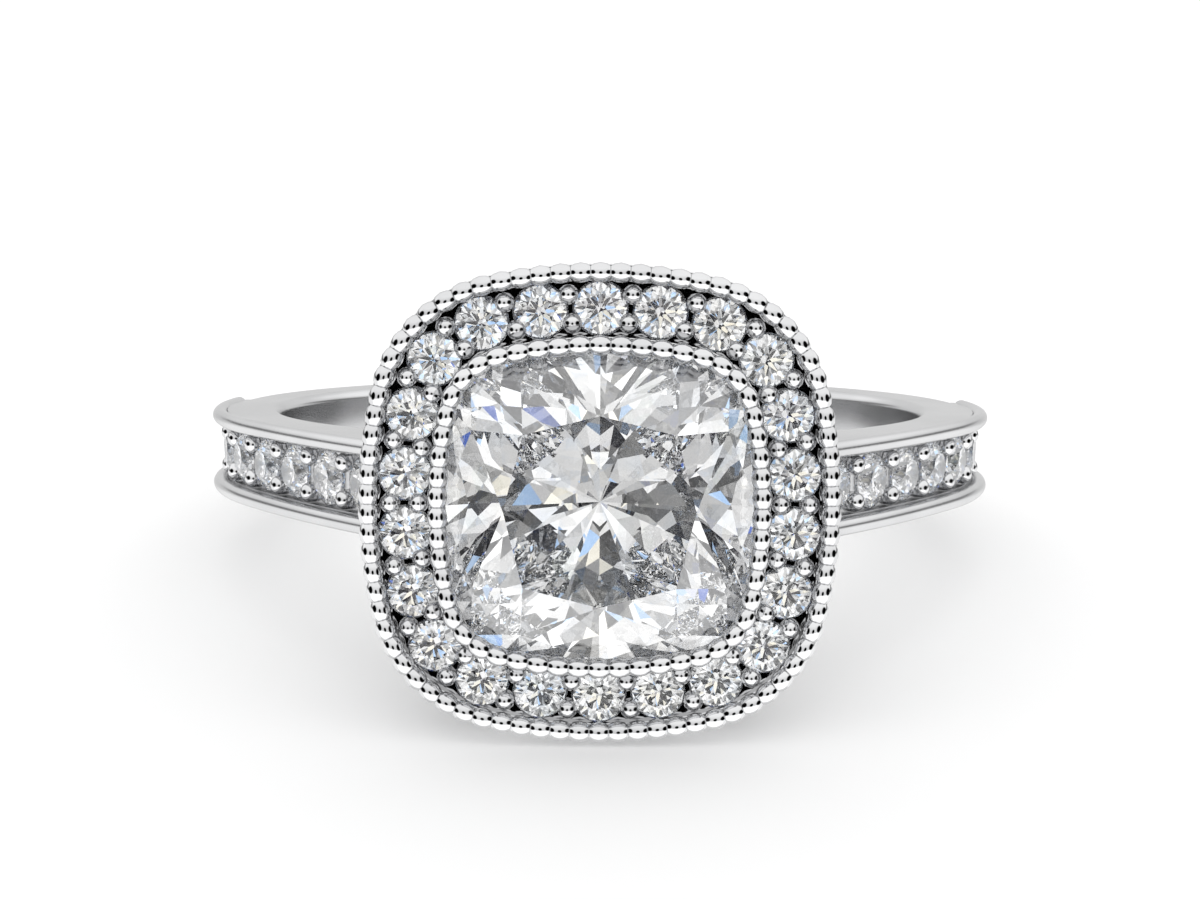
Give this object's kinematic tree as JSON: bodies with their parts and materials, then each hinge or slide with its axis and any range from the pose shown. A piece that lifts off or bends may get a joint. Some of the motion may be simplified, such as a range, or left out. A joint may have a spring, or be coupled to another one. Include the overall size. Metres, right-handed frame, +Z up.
{
  "type": "halo ring",
  "caption": "Ring with a cushion-cut centre stone in a beaded bezel, a halo of round stones, and a shank with stones set between raised wires on its shoulders.",
  "frame": {"origin": "centre of the finger hole, on its axis, halfway across the shank's width", "axes": "+Z up with the ring lying on its side as it rests, the head towards -Y, +X to the right seen from the head; the finger axis leans 10.41 degrees from +Z towards +Y, because the ring stands on the lower edge of its head and on the back of its shank"},
  "size_m": [0.0204, 0.0236, 0.0099],
  "materials": {
    "white_gold": "mirror-polished white gold",
    "diamond": "clear faceted diamond with a polished surface"
  },
  "bodies": {
    "root": {"mounting": "white_gold", "centre_stone": "diamond", "halo_stone_01": "diamond", "halo_stone_02": "diamond", "halo_stone_03": "diamond", "halo_stone_04": "diamond", "halo_stone_05": "diamond", "halo_stone_06": "diamond", "halo_stone_07": "diamond", "halo_stone_08": "diamond", "halo_stone_09": "diamond", "halo_stone_10": "diamond", "halo_stone_11": "diamond", "halo_stone_12": "diamond", "halo_stone_13": "diamond", "halo_stone_14": "diamond", "halo_stone_15": "diamond", "halo_stone_16": "diamond", "halo_stone_17": "diamond", "halo_stone_18": "diamond", "halo_stone_19": "diamond", "halo_stone_20": "diamond", "halo_stone_21": "diamond", "halo_stone_22": "diamond", "left_shoulder_stone_1": "diamond", "left_shoulder_stone_2": "diamond", "left_shoulder_stone_3": "diamond", "left_shoulder_stone_4": "diamond", "left_shoulder_stone_5": "diamond", "left_shoulder_stone_6": "diamond", "left_shoulder_stone_7": "diamond", "right_shoulder_stone_1": "diamond", "right_shoulder_stone_2": "diamond", "right_shoulder_stone_3": "diamond", "right_shoulder_stone_4": "diamond", "right_shoulder_stone_5": "diamond", "right_shoulder_stone_6": "diamond", "right_shoulder_stone_7": "diamond"}
  },
  "joints": []
}
